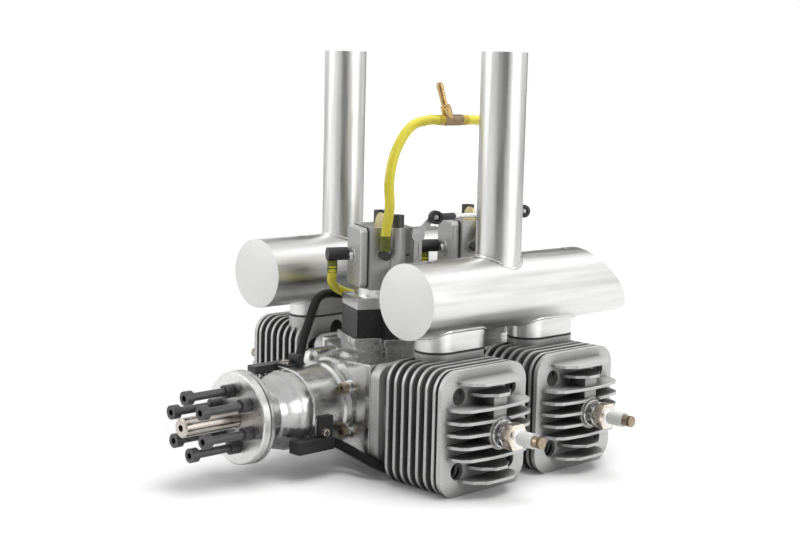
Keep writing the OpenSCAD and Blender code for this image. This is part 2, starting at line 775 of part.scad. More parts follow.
module throttle_link() {
  color("dimgray") on_axis() difference() {
    union() {
      link_end(ball_f, 4.4, 4);
      link_end(ball_r, 4.4, 4);
      translate([ball_f[0], 0, ball_z]) along_y(ball_f[1] + 3.2, 1.5, cyl_pitch - 6.4, 24);
    }
    link_end(ball_f, 2.45, 8);
    link_end(ball_r, 2.45, 8);
  }
}

// ---- fuel and pulse lines ----

module elbow_common() {
  along_x(14, 2, 8, 24);
  along_x(18.5 + 1.1, 2.9, 7, 32);
}

module hose_elbows() {
  color("#202020") on_axis() {
    at_intakes() {
      translate([0, -6.8, 93.5]) elbow_common();
      translate([-9, -18.6, 91.5]) rotate([90, 0, 0]) cylinder(r = 2, h = 4, $fn = 24);
      translate([-9, -21.6, 91.5]) rotate([90, 0, 0]) cylinder(r = 4.3, h = 13.5, $fn = 48);
      translate([-9, -31.5, 79]) cylinder(r = 1.9, h = 11, $fn = 32);
      for (z = [79.4, 82, 84.6]) translate([-9, -31.5, z]) cylinder(r1 = 1.9, r2 = 2.3, h = 1.6, $fn = 32);
    }
    at_intake(y_carb_f) translate([23.6, -6.8, 94]) cylinder(r = 1.9, h = 12, $fn = 32);
    at_intake(y_carb_r) {
      translate([20, -6.8, 93.5]) along_x(0, 2.8, 8, 32);
      translate([25.5, -6.8, 94]) rotate([-25, 0, 0]) cylinder(r = 1.9, h = 12, $fn = 32);
    }
  }
}

function intake_pt(yc, w, d, z) = [w * cos(pair_turn) - d * sin(pair_turn),
  yc - w * sin(pair_turn) - d * cos(pair_turn), z];

tee_c = [22, -124.7, 179.5];
fuel_f = intake_pt(y_carb_f, 23.6, 6.8, 96.6);
fuel_f_route = [fuel_f, fuel_f + [0, 0, 9.5], [21.6, -179, 124], [22, -180, 142], [22, -174.6, 161],
  [22, -162, 175.5], [22, -146, 179.5], [22, -139, 179.5], [22, -133.5, 179.5]];
fuel_r0 = intake_pt(y_carb_r, 25.5, 6.8, 94);
lean = [sin(25) * sin(pair_turn), sin(25) * cos(pair_turn), cos(25)];
fuel_r_route = [fuel_r0 + 3.3 * lean, fuel_r0 + 13 * lean, [23.9, -86.9, 114],
  [23.5, -82.9, 124], [25, -66, 140],
  [24, -69, 158], [23, -82, 173], [22, -98, 178.8], [22, -107, 179.5], [22, -116, 179.5]];

module fuel_hose_front() {
  color("khaki") on_axis() difference() {
    tube_along(smooth(fuel_f_route, 4), 3.2, [1, 0, 0]);
    translate(fuel_f - [0, 0, 1]) cylinder(r = 1.95, h = 10.6, $fn = 32);
    translate([22, 0, 179.5]) along_y(-138.5, 1.95, 6, 32);
  }
}

module fuel_hose_rear() {
  color("khaki") on_axis() difference() {
    tube_along(smooth(fuel_r_route, 4), 3.2, [1, 0, 0]);
    rod(fuel_r0 + 2.3 * lean, fuel_r0 + 12.2 * lean, 1.95, 32);
    translate([22, 0, 179.5]) along_y(-117, 1.95, 6, 32);
  }
}

module fuel_tee() {
  color("goldenrod") on_axis() {
    translate([22, 0, 179.5]) {
      along_y(-138, 1.9, 27, 32);
      along_y(-133.2, 3.6, 17, 48);
    }
    rod([22, -130, 184], [22, -137.5, 203], 1.9, 32);
    rod([22, -127.5, 179.5], [22, -131.5, 188.5], 3.4, 48);
    translate([22, -136.3, 200]) rotate([21.5, 0, 0]) cylinder(r1 = 2.5, r2 = 1.8, h = 3.4, $fn = 32);
  }
}

module pulse_line(yc) {
  route = [intake_pt(yc, -9, 31.5, 87), intake_pt(yc, -9, 31.5, 79),
    intake_pt(yc, -13, 30.4, 73), intake_pt(yc, -21.5, 25, 67.5), intake_pt(yc, -26.3, 17, 63.4),
    intake_pt(yc, -22.6, 11.2, 61.8), intake_pt(yc, -17.6, 11, 61.7)];
  difference() {
    tube_along(smooth(route, 3), 3.1, [1, 0, 0]);
    at_intake(yc) {
      translate([-9, -31.5, 78.6]) cylinder(r = 2.35, h = 9, $fn = 32);
      translate([0, -11, 61.7]) along_x(-23.3, 2.05, 9, 24);
    }
  }
}

module pulse_hoses() {
  color("khaki") on_axis() {
    pulse_line(y_carb_f);
    pulse_line(y_carb_r);
  }
}

// ---- ignition pick-ups ----

module hall_sensors() {
  color("#202020") on_axis() difference() {
    union() {
      translate([22, y_nose - 16.7, -21]) cube([9.5, 28, 7.5]);
      translate([25.05, y_nose + 2, -17]) cube([2, 12, 16]);
      translate([-22, y_nose - 14.7, 21.1]) cube([8, 27, 5]);
      translate([-16, y_nose + 2, 25.05]) cube([13, 12, 1.6]);
      translate([-11.7, y_nose + 9.5, 25.1]) cube([9.4, 5, 6.9]);
    }
    translate([24, y_nose + 11.25, -18]) cube([4, 4, 4]);
    rod(low_route[0] - [0.07, 0.28, -0.08], low_route[1] + [0.33, 1.41, -0.39], lead_r + 0.1);
    rod(up_route[0] - [-0.05, 0.14, 0.14], up_route[1] + [-1.09, 2.72, 2.72], lead_r + 0.2);
    translate([0, y_nose + 7.3, -11]) along_x(24, 1.6, 5, 24);
    translate([-9, y_nose + 5.3, 24]) cylinder(r = 1.6, h = 4, $fn = 24);
  }
  color("silver") on_axis() {
    translate([0, y_nose + 7.3, -11]) difference() {
      union() {
        along_x(27.1, 3, 2, 48);
        along_x(20.5, 1.5, 7, 24);
      }
      translate([28.4, -2.4, -0.4]) cube([1, 4.8, 0.8]);
      translate([28.4, -0.4, -2.4]) cube([1, 0.8, 4.8]);
    }
    translate([-9, y_nose + 5.3, 0]) difference() {
      union() {
        translate([0, 0, 26.7]) cylinder(r = 3, h = 2, $fn = 48);
        translate([0, 0, 20]) cylinder(r = 1.5, h = 7, $fn = 24);
      }
      translate([-2.4, -0.4, 28]) cube([4.8, 0.8, 1]);
      translate([-0.4, -2.4, 28]) cube([0.8, 4.8, 1]);
    }
  }
}

low_route = [[26.16, -232.78, -16.87], [26.6, y_nose + 11.4, -17.4], [27.6, -226.6, -18.6],
  [33, -222, -21.8],
  [42, -220.2, -24.6], [51.5, -218.6, -27.2], [58.6, -213, -30.6], [60.3, -203, -33.9],
  [60, -188, cable_z], [59.5, -168, cable_z], [56, -153, cable_z], [46, -141, cable_z],
  [33, -126, cable_z], [21, -100, cable_z], [10, -60, cable_z], [0, -15, cable_z],
  [-5, 15, cable_z], [-7, 40, cable_z], [-7, 58, cable_z]];
up_route = [[-7.46, -229.06, 27.14], [-8, y_nose + 14.6, 28.5], [-9, -225.2, 31],
  [-15, -217.6, 39.2], [-22, -207.6, 47.3],
  [-29, -197.5, 55.3], [-34.5, -188.5, 60.6], [-38, -178, 62.4], [-38.6, -166, 61],
  [-36, -151, 59], [-28, -139, 56.5], [-16, -132, 53.5], [-2, -129.8, 51.5], [14, -130, 49.5],
  [32, -130.5, 48], [46, -131, 46], [56.5, -131, 40], [60, -131, 27], [60, -131, 5],
  [60, -130.5, -15], [59.9, -128.5, -28], [59.8, -121.5, -33.3],
  [59.9, -111, cable_z], [60, -94, cable_z],
  [60, -75, cable_z], [57, -56, cable_z], [49, -42, cable_z], [38, -30, cable_z],
  [29, -14, cable_z], [24, 4, cable_z], [21, 20, cable_z], [20, 35, cable_z]];

module sensor_lead_lower() {
  color("#202020") on_axis() tube_along(smooth(low_route, 2), lead_r, [1, 0, 0]);
}

module sensor_lead_upper() {
  color("#202020") on_axis() tube_along(smooth(up_route, 2), lead_r, [1, 0, 0]);
}

module plug_housing() {
  difference() {
    translate([-5.5, 0, 0]) cube([11, 17, 6.6]);
    translate([-3.5, 11, 1.8]) cube([7, 8, 3]);
    for (x = [-3.8, 2.6]) translate([x, 3, 5.8]) cube([1.2, 9, 2]);
  }
}

module connector_lower() {
  color("#202020") on_axis() translate([-7, 58.05, floor_z]) plug_housing();
}

module connector_upper() {
  color("#202020") on_axis() translate([20, 35.05, floor_z]) rotate([0, 0, 4]) plug_housing();
}

// ---- crank train ----

module web(y, side, dir) {
  difference() {
    along_y(y, 26.5, 6.6, 96);
    translate([side * throw, 0, 0]) along_y(y - 1, 5.3, 9, 48);
    for (s = [-1, 1]) translate([side * 11, 0, s * 16]) along_y(y - 1, 4.5, 9, 48);
  }
}

module crankshaft() {
  color("lightsteelblue") on_axis() {
    difference() {
      union() {
        along_y(y_nose - 19.7, jr, y_r1 - 12 - y_nose + 19.8);
        web(y_r1 - 12, 1);
      }
      along_y(y_nose - 20, stud_r - 0.35, 13);
    }
    web(y_r1 + 5.4, 1);
    along_y(y_r1 + 11.9, jr, y_l1 - y_r1 - 23.8);
    web(y_l1 - 12, -1);
    web(y_l1 + 5.4, -1);
    along_y(y_l1 + 11.9, jr, y_r2 - y_l1 - 23.8);
    web(y_r2 - 12, -1);
    web(y_r2 + 5.4, -1);
    along_y(y_r2 + 11.9, jr, y_l2 - y_r2 - 23.8);
    web(y_l2 - 12, 1);
    web(y_l2 + 5.4, 1);
    along_y(y_l2 + 11.9, jr, -32.5 - y_l2 - 11.9);
  }
}

hub_front = y_washer + washer_t + 0.1;

module prop_hub() {
  color("silver") on_axis() difference() {
    turned_y([[0, hub_front], [28.8, hub_front], [28.8, hub_front + 2.3], [22, hub_front + 3.2],
      [20.5, hub_front + 5], [20.6, y_nose - 22], [21.8, y_nose - 17.2], [23.4, y_nose - 12],
      [24.1, y_nose - 7.7], [24.6, y_nose - 7.2], [24.6, y_nose - 0.7], [18.5, y_nose - 0.7],
      [18.5, y_nose - 3], [0, y_nose - 3]]);
    along_y(y_nose - 19.75, jr + 0.03, 30);
    along_y(hub_front - 1, stud_r - 0.35, 30);
    for (i = [0 : 5]) rotate([0, -(39.5 + 60 * i), 0]) translate([prop_bolt_r, 0, 0])
      along_y(hub_front - 1, 2.55, 17, 32);
    for (a = [20, 200]) rotate([0, -a, 0]) translate([0, y_nose - 4, 0]) along_x(22, 2.02, 4, 32);
  }
}

module prop_washer() {
  color("silver") on_axis() difference() {
    turned_y([[0, y_washer], [washer_r - 0.6, y_washer], [washer_r, y_washer + 0.6],
      [washer_r, y_washer + washer_t - 0.6], [washer_r - 0.6, y_washer + washer_t],
      [0, y_washer + washer_t]]);
    along_y(y_washer - 1, stud_r - 0.35, 9);
    along_y(y_washer - 1, stud_r + 0.35, 1.8);
    for (i = [0 : 5]) rotate([0, -(39.5 + 60 * i), 0]) translate([prop_bolt_r, 0, 0]) {
      along_y(y_washer - 1, 2.7, 9, 32);
      along_y(y_washer - 1, 4.3, 2);
    }
  }
}

module prop_bolts() {
  color("#202020") on_axis() for (i = [0 : 5]) rotate([0, -(39.5 + 60 * i), 0])
    translate([prop_bolt_r, y_head + 5, 0]) {
      rotate([90, 0, 0]) cap_screw(2.5, 5, prop_gap + washer_t + 14, 4.3, 2.2);
      difference() {
        union() {
          along_y(prop_gap - 6.5, 3.9, 7.4, 48);
          for (k = [0 : 3]) along_y(prop_gap - 6.3 + 1.7 * k, 4.15, 0.9, 48);
        }
        along_y(prop_gap - 8, 2.55, 12, 32);
      }
    }
}

module centre_stud() {
  color("rosybrown") on_axis() difference() {
    turned_y([[0, stud_end], [stud_r - 0.8, stud_end], [stud_r, stud_end + 0.8],
      [stud_r, y_washer - 0.3], [stud_r - 0.4, y_washer - 0.3], [stud_r - 0.4, y_nose - 8],
      [0, y_nose - 8]]);
    along_y(stud_end - 1, 2.1, 19, 32);
  }
}

module timing_magnets() {
  color("silver") on_axis() for (a = [20, 200]) rotate([0, -a, 0]) translate([0, y_nose - 4, 0])
    along_x(22.05, 2, 2.2, 32);
}

// Piston and rod stand at the outer end of the stroke when out = 1
module piston(out) {
  translate([out ? 0 : -stroke, 0, 0]) {
    difference() {
      along_x(pin_top - 10, bore_d / 2 - 0.08, 24, 96);
      along_x(pin_top - 12, 19.6, 20.5, 96);
      translate([pin_top, 0, 0]) along_y(-30, 5.02, 60, 48);
      for (x = [7, 10.6]) difference() {
        along_x(pin_top + x, 25, 1.3, 96);
        along_x(pin_top + x - 1, 20.7, 4, 96);
      }
    }
    for (s = [-1, 1]) difference() {
      translate([pin_top, 0, 0]) rotate([s * 90, 0, 0]) translate([0, 0, 5.5]) cylinder(r = 7.5, h = 14.3);
      translate([pin_top, 0, 0]) along_y(-30, 5.02, 60, 48);
    }
    for (x = [7.05, 10.65]) difference() {
      along_x(pin_top + x, bore_d / 2 - 0.03, 1.2, 96);
      along_x(pin_top + x - 1, 20.9, 4, 96);
      translate([pin_top + x - 1, -0.2, 18]) cube([4, 0.4, 8]);
    }
    translate([pin_top, 0, 0]) difference() {
      along_y(-19, 5, 38, 48);
      along_y(-20, 3, 40, 32);
    }
  }
}

module con_rod(out) {
  px = out ? throw : -throw;
  translate([px, 0, 0]) {
    difference() {
      union() {
        along_y(-4.5, 10.3, 9);
        translate([rod_len, 0, 0]) along_y(-4.5, 7.4, 9);
        translate([8, -2.5, -4.5]) cube([rod_len - 14, 5, 9]);
      }
      along_y(-6, 7.5, 12);
      translate([rod_len, 0, 0]) along_y(-6, 5.04, 12, 48);
      for (s = [-1, 1]) translate([13, s * 3 - 1.5, -2.6]) cube([rod_len - 24, 3, 5.2]);
    }
    difference() {
      along_y(-4.4, 7.47, 8.8);
      along_y(-6, 5.04, 12, 48);
    }
    difference() {
      along_y(-5.1, 5, 10.2, 48);
      along_y(-6, 2.2, 12, 32);
    }
  }
}

module piston_right_front() {
  color("silver") on_axis() at_bank(1, y_r1) piston(true);
}

module piston_left_front() {
  color("silver") on_axis() at_bank(-1, y_l1) piston(true);
}

module piston_right_rear() {
  color("silver") on_axis() at_bank(1, y_r2) piston(false);
}

module piston_left_rear() {
  color("silver") on_axis() at_bank(-1, y_l2) piston(false);
}

module rod_right_front() {
  color("gray") on_axis() at_bank(1, y_r1) con_rod(true);
}

module rod_left_front() {
  color("gray") on_axis() at_bank(-1, y_l1) con_rod(true);
}

module rod_right_rear() {
  color("gray") on_axis() at_bank(1, y_r2) con_rod(false);
}

module rod_left_rear() {
  color("gray") on_axis() at_bank(-1, y_l2) con_rod(false);
}

nose_case();
main_case();
rear_cover();
rear_mount();
case_screws();
main_bearings();
bearing_carriers();
shaft_seals();
cylinder_right_front();
cylinder_left_front();
cylinder_right_rear();
cylinder_left_rear();
cylinder_gaskets();
cylinder_bolts();
plug_shells();
plug_insulators();
plug_terminals();
muffler_right();
muffler_left();
exhaust_stacks();
exhaust_gaskets();
muffler_bolts();
reed_blocks();
reed_petals();
carb_adapters();
carb_body_front();
carb_body_rear();
metering_covers();
pump_covers();
carb_gaskets();
carb_bolts();
hose_elbows();
fuel_hose_front();
fuel_hose_rear();
fuel_tee();
pulse_hoses();
hall_sensors();
sensor_lead_lower();
sensor_lead_upper();
connector_lower();
connector_upper();
crankshaft();
prop_hub();
prop_washer();
prop_bolts();
centre_stud();
timing_magnets();
piston_right_front();
piston_left_front();
piston_right_rear();
piston_left_rear();
rod_right_front();
rod_left_front();
rod_right_rear();
rod_left_rear();
throttle_front();
throttle_rear();
choke_front();
choke_rear();
throttle_link();
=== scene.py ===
"""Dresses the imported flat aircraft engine: materials, hoses, leads, fittings, floor, light, camera."""
import math

import bpy
from mathutils import Matrix, Vector


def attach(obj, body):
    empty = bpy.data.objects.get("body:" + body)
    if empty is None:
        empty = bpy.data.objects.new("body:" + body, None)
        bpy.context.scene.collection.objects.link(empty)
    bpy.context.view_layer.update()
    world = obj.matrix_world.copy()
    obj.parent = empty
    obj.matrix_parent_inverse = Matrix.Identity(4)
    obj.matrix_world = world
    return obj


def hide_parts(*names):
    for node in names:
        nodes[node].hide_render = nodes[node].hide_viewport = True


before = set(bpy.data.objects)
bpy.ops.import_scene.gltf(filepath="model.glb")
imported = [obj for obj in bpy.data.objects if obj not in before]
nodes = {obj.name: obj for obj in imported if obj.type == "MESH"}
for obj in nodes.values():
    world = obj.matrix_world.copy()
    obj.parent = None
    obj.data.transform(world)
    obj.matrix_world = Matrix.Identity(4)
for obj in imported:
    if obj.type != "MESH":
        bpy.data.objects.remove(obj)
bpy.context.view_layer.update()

MM = 0.001
CRANK_Z = -15.0          # the crank axis lies this far below the origin
FLOOR_Z = -52.86
PAIR_TURN = math.radians(24.02)          # the carburettors are turned by the offset of the banks
Y_R1, Y_L1, Y_R2, Y_L2 = -184.0, -143.0, -99.5, -58.5
Y_CARB_F, Y_CARB_R = (Y_R1 + Y_L1) / 2, (Y_R2 + Y_L2) / 2
CARBS = (("front", Y_CARB_F), ("rear", Y_CARB_R))
Y_SEAM = Y_R1 - 27.5
Y_NOSE = Y_R1 - 58.3
LEAD_R = 2.9
BED_Z = -37.75                           # plane that the leads lie on, about the crank axis
CABLE_Z = BED_Z + LEAD_R + 0.05
HOSE_R, PULSE_R = 3.2, 3.1
CAN_R, CAN_Z, CAN_X, NECK_X = 23.1, 74.0, 74.2, 75.0    # the canisters and their necks
STACK_WELD_R, NECK_WELD_R, NECK_HALF = 14.5, 13.1, 12.0
LINK_Z = 118.5
TEE_X, TEE_Z = 22, 179.5
PULSE_X, PULSE_Y = -9, -31.5             # pulse elbow, in the turned frame of a carburettor
CAST_EDGE_ROUND = 0.00045                      # radius of the rounded edges of a casting, in metres, which also sets the band of painted highlight along them
MIX_A, MIX_B, MIX_OUT = 6, 7, 2          # colour sockets of a Mix node


def at(x, y, z):
    """A point given in millimetres about the crank axis, as metres about the origin."""
    return Vector((x * MM, y * MM, (z + CRANK_Z) * MM))


def intake(yc, x, y, z):
    """A point in the turned frame of the carburettor at yc, in millimetres."""
    c, s = math.cos(PAIR_TURN), math.sin(PAIR_TURN)
    return at(x * c + y * s, yc - x * s + y * c, z)


def turn_dir(x, y, z=0.0):
    """A direction in the turned frame of a carburettor."""
    c, s = math.cos(PAIR_TURN), math.sin(PAIR_TURN)
    return Vector((x * c + y * s, -x * s + y * c, z))


# ---- camera, fitted to points of the photograph ----
cam_data = bpy.data.cameras.new("camera")
cam = bpy.data.objects.new("camera", cam_data)
bpy.context.collection.objects.link(cam)
cam_data.sensor_width = 36.0
cam_data.lens = 65.308
cam_right = Vector((0.69560621, 0.71804721, 0.02324226))
cam_up = Vector((-0.10949899, 0.07399203, 0.99122911))
cam_back = Vector((0.71002956, -0.69205013, 0.13009476))
basis = Matrix((cam_right, cam_up, cam_back)).transposed().to_4x4()
basis.translation = Vector((0.681075, -0.811345, 0.192146))
cam.matrix_world = basis
cam_data.clip_start, cam_data.clip_end = 0.01, 50
bpy.context.scene.camera = cam
bpy.context.scene.view_settings.view_transform = "Standard"


# ---- materials ----
def shader(name, colour, metallic=0.0, rough=0.5):
    """A new material with its node tree and its Principled shader."""
    m = bpy.data.materials.new(name)
    m.use_nodes = True
    b = m.node_tree.nodes["Principled BSDF"]
    b.inputs["Base Color"].default_value = (*colour, 1)
    b.inputs["Metallic"].default_value = metallic
    b.inputs["Roughness"].default_value = rough
    return m, m.node_tree, b


def noise(tree, scale, detail=3.0, stretch=(1, 1, 1)):
    """Noise in the object's own coordinates, so that it moves with the piece."""
    co = tree.nodes.new("ShaderNodeTexCoord")
    mp = tree.nodes.new("ShaderNodeMapping")
    mp.inputs["Scale"].default_value = stretch
    tex = tree.nodes.new("ShaderNodeTexNoise")
    tex.inputs["Scale"].default_value = scale
    tex.inputs["Detail"].default_value = detail
    tree.links.new(co.outputs["Object"], mp.inputs["Vector"])
    tree.links.new(mp.outputs["Vector"], tex.inputs["Vector"])
    return tex


def ramp(tree, source, low, high, lo_pos=0.3, hi_pos=0.7):
    """A ramp between two colours or two grey values."""
    r = tree.nodes.new("ShaderNodeValToRGB")
    for stop, place, value in zip(r.color_ramp.elements, (lo_pos, hi_pos), (low, high)):
        stop.position = place
        stop.color = (*value, 1) if hasattr(value, "__len__") else (value, value, value, 1)
    tree.links.new(source, r.inputs["Fac"])
    return r


def rounded(tree, radius):
    """A bevel node: the normal as if every edge were rounded by radius, in metres."""
    soft = tree.nodes.new("ShaderNodeBevel")
    soft.samples = 4
    soft.inputs["Radius"].default_value = radius
    return soft


def grained(tree, source, strength, depth, normal=None):
    """A bump from a noise, on top of a rounded normal where one is given."""
    relief = tree.nodes.new("ShaderNodeBump")
    relief.inputs["Strength"].default_value = strength
    relief.inputs["Distance"].default_value = depth
    tree.links.new(source, relief.inputs["Height"])
    if normal is not None:
        tree.links.new(normal, relief.inputs["Normal"])
    return relief


def surface(name, colour, metallic, rough, spread=0.08, scale=400.0, bump=0.1, stretch=(1, 1, 1),
            shade=0.06, edge=0.0):
    """A metal or plastic with fine procedural grain in its colour, gloss and relief."""
    m, tree, b = shader(name, colour, metallic, rough)
    tex = noise(tree, scale, 4.0, stretch)
    gloss = ramp(tree, tex.outputs["Fac"], rough - spread, rough + spread)
    tree.links.new(gloss.outputs["Color"], b.inputs["Roughness"])
    low = tuple(max(0.0, c - shade) for c in colour)
    high = tuple(min(1.0, c + shade) for c in colour)
    tint = ramp(tree, tex.outputs["Fac"], low, high)
    tree.links.new(tint.outputs["Color"], b.inputs["Base Color"])
    soft = rounded(tree, edge).outputs["Normal"] if edge else None
    relief = grained(tree, tex.outputs["Fac"], bump, 0.0004, soft)
    tree.links.new(relief.outputs["Normal"], b.inputs["Normal"])
    return m


def cast_surface(name, painted_shade, open_face, highlight_tint, reach=0.011, rough=0.5):
    """Cast aluminium: painted shade between the fins from an occlusion mask, lighter on open faces, and a
    painted highlight along the rounded edges.
    """
    m, tree, b = shader(name, open_face, 0.45, rough)
    grain = noise(tree, 900, 4.0)
    # Painted shade: the occlusion below darkens the colour between the fins and in hollows, and leaves open
    # faces at their own colour.
    ao = tree.nodes.new("ShaderNodeAmbientOcclusion")
    ao.samples = 6
    ao.inputs["Distance"].default_value = reach
    face = ramp(tree, ao.outputs["AO"], painted_shade, open_face, 0.25, 0.95)
    soft = rounded(tree, CAST_EDGE_ROUND)
    # Painted highlight: where the rounded normal turns away from the true normal, along the edges, the colour
    # goes lighter.
    geo = tree.nodes.new("ShaderNodeNewGeometry")
    dot = tree.nodes.new("ShaderNodeVectorMath")
    dot.operation = "DOT_PRODUCT"
    tree.links.new(soft.outputs["Normal"], dot.inputs[0])
    tree.links.new(geo.outputs["Normal"], dot.inputs[1])
    edge_highlight_mask = ramp(tree, dot.outputs["Value"], 1.0, 0.0, 0.82, 0.985)
    blend = tree.nodes.new("ShaderNodeMix")
    blend.data_type = "RGBA"
    tree.links.new(edge_highlight_mask.outputs["Color"], blend.inputs[0])
    tree.links.new(face.outputs["Color"], blend.inputs[MIX_A])
    blend.inputs[MIX_B].default_value = (*highlight_tint, 1)
    speck = ramp(tree, grain.outputs["Fac"], 0.86, 1.08)
    tone = tree.nodes.new("ShaderNodeMix")
    tone.data_type = "RGBA"
    tone.blend_type = "MULTIPLY"
    tone.inputs[0].default_value = 1.0
    tree.links.new(blend.outputs[MIX_OUT], tone.inputs[MIX_A])
    tree.links.new(speck.outputs["Color"], tone.inputs[MIX_B])
    tree.links.new(tone.outputs[MIX_OUT], b.inputs["Base Color"])
    gloss = ramp(tree, grain.outputs["Fac"], rough - 0.08, rough + 0.08)
    tree.links.new(gloss.outputs["Color"], b.inputs["Roughness"])
    relief = grained(tree, grain.outputs["Fac"], 0.3, 0.0003, soft.outputs["Normal"])
    tree.links.new(relief.outputs["Normal"], b.inputs["Normal"])
    return m


polished = surface("polished_case", (0.62, 0.62, 0.615), 1.0, 0.27, 0.09, 70, 0.14, shade=0.06, edge=0.0012)
hub_metal = surface("hub_metal", (0.49, 0.49, 0.487), 1.0, 0.25, 0.07, 70, 0.10, (1, 2, 1), edge=0.0005)
# Sand cast aluminium: near-black painted shade between the fins, the open colour on open faces, and a lighter
# painted highlight on the edges.
sand = cast_surface("sand_cast", (0.075, 0.075, 0.073), (0.56, 0.56, 0.555), (0.66, 0.66, 0.65))
brushed_y = surface("muffler_metal", (0.76, 0.76, 0.75), 1.0, 0.36, 0.08, 260, 0.08, (1, 0.06, 1),
                    edge=0.0004)
brushed_z = surface("stack_metal", (0.76, 0.76, 0.75), 1.0, 0.34, 0.08, 260, 0.08, (1, 1, 0.05),
                    edge=0.0003)
cap_metal = surface("cap_metal", (0.84, 0.84, 0.83), 0.25, 0.55, 0.05, 300, 0.03, shade=0.015)
weld_metal = surface("weld_metal", (0.66, 0.66, 0.65), 1.0, 0.34, 0.08, 500, 0.3, shade=0.05)
machined = surface("machined_metal", (0.72, 0.72, 0.71), 1.0, 0.32, 0.06, 300, 0.08, edge=0.0004)
carb_metal = surface("carb_metal", (0.44, 0.44, 0.435), 0.75, 0.42, 0.08, 700, 0.25, shade=0.03,
                     edge=0.0006)
cover_metal = surface("cover_metal", (0.52, 0.52, 0.515), 0.7, 0.46, 0.08, 900, 0.3, shade=0.03,
                      edge=0.0006)
black_steel = surface("black_steel", (0.085, 0.085, 0.087), 0.55, 0.36, 0.08, 500, 0.1,
                      shade=0.012, edge=0.0003)
plain_steel = surface("plain_steel", (0.55, 0.55, 0.55), 1.0, 0.30, 0.05, 400, 0.08, edge=0.0003)
bright_steel = surface("bright_steel", (0.86, 0.86, 0.85), 1.0, 0.28, 0.05, 400, 0.08, edge=0.0003)
lever_steel = surface("lever_steel", (0.42, 0.42, 0.42), 0.9, 0.36, 0.06, 400, 0.08, edge=0.0003)
warm_steel = surface("warm_steel", (0.90, 0.79, 0.67), 1.0, 0.28, 0.06, 400, 0.08, edge=0.0003)
stud_steel = surface("stud_steel", (0.54, 0.485, 0.44), 1.0, 0.27, 0.02, 500, 0.01, (1, 0.2, 1),
                     0.01, 0.0003)
zinc_brass = surface("zinc_brass", (0.37, 0.30, 0.22), 1.0, 0.34, 0.06, 400, 0.08, edge=0.0003)
brass = surface("brass_parts", (0.66, 0.46, 0.20), 1.0, 0.32, 0.06, 400, 0.10, edge=0.0003)
bright_brass = surface("bright_brass", (0.95, 0.80, 0.42), 1.0, 0.28, 0.03, 900, 0.02, shade=0.02,
                       edge=0.0003)
old_brass = surface("old_brass", (0.27, 0.20, 0.12), 0.9, 0.42, 0.08, 400, 0.15, edge=0.0003)
black_plastic = surface("black_plastic", (0.027, 0.027, 0.028), 0.0, 0.42, 0.06, 500, 0.08,
                        shade=0.006, edge=0.0004)
# Near-black sheets of painted shade that stand in for the dark inside of screw slots and cross recesses.
slot_shade_black = surface("slot_shade_black", (0.008, 0.008, 0.008), 0.0, 0.7, 0.05, 500, 0.05, shade=0.003)
gasket = surface("gasket_dark", (0.05, 0.05, 0.05), 0.0, 0.8, 0.05, 600, 0.2, shade=0.02)
lead_black = surface("lead_black", (0.006, 0.006, 0.006), 0.0, 0.55, 0.06, 300, 0.1, shade=0.002)
lead_black.node_tree.nodes["Principled BSDF"].inputs["Specular IOR Level"].default_value = 0.25


def ceramic():
    """Glazed white ceramic."""
    m, tree, b = shader("ceramic_white", (0.66, 0.66, 0.65), 0.0, 0.25)
    tex = noise(tree, 60)
    tint = ramp(tree, tex.outputs["Fac"], (0.63, 0.63, 0.62), (0.70, 0.70, 0.69))
    tree.links.new(tint.outputs["Color"], b.inputs["Base Color"])
    return m


def hose_material(name, colour, through):
    """Clear or solid rubber hose. The last value is the share of light that goes through it."""
    m, tree, b = shader(name, colour, 0.0, 0.22)
    b.inputs["Transmission Weight"].default_value = through
    b.inputs["IOR"].default_value = 1.38
    b.inputs["Subsurface Weight"].default_value = 0.25
    b.inputs["Subsurface Radius"].default_value = (0.004, 0.003, 0.0008)
    tex = noise(tree, 90)
    low = tuple(c * 0.92 for c in colour)
    tint = ramp(tree, tex.outputs["Fac"], low, colour)
    tree.links.new(tint.outputs["Color"], b.inputs["Base Color"])
    return m


white_ceramic = ceramic()
yellow_hose = hose_material("hose_yellow", (0.92, 0.83, 0.09), 0.30)
olive_hose = hose_material("hose_over_barb", (0.13, 0.15, 0.02), 0.0)
amber_hose = hose_material("hose_over_brass", (0.62, 0.46, 0.04), 0.15)

DRESS = {
    "nose_case": polished, "main_case": polished, "rear_cover": machined, "rear_mount": machined,
    "case_screws": zinc_brass, "main_bearings": plain_steel, "bearing_carriers": machined,
    "shaft_seals": gasket, "cylinder_gaskets": gasket, "cylinder_bolts": black_steel,
    "plug_shells": warm_steel, "plug_insulators": white_ceramic, "plug_terminals": zinc_brass,
    "muffler_right": brushed_y, "muffler_left": brushed_y, "exhaust_stacks": brushed_z,
    "exhaust_gaskets": gasket, "muffler_bolts": black_steel, "reed_blocks": black_plastic,
    "reed_petals": gasket, "carb_adapters": machined, "carb_body_front": carb_metal,
    "carb_body_rear": carb_metal, "metering_covers": carb_metal, "pump_covers": cover_metal,
    "carb_gaskets": gasket, "carb_bolts": black_steel, "hose_elbows": black_plastic,
    "fuel_tee": brass, "hall_sensors": black_plastic, "connector_lower": black_plastic,
    "connector_upper": black_plastic, "crankshaft": plain_steel, "prop_hub": hub_metal,
    "prop_washer": machined, "prop_bolts": black_steel, "centre_stud": stud_steel,
    "timing_magnets": plain_steel, "throttle_front": lever_steel, "throttle_rear": lever_steel,
    "choke_front": bright_brass, "choke_rear": bright_brass, "throttle_link": black_plastic,
}
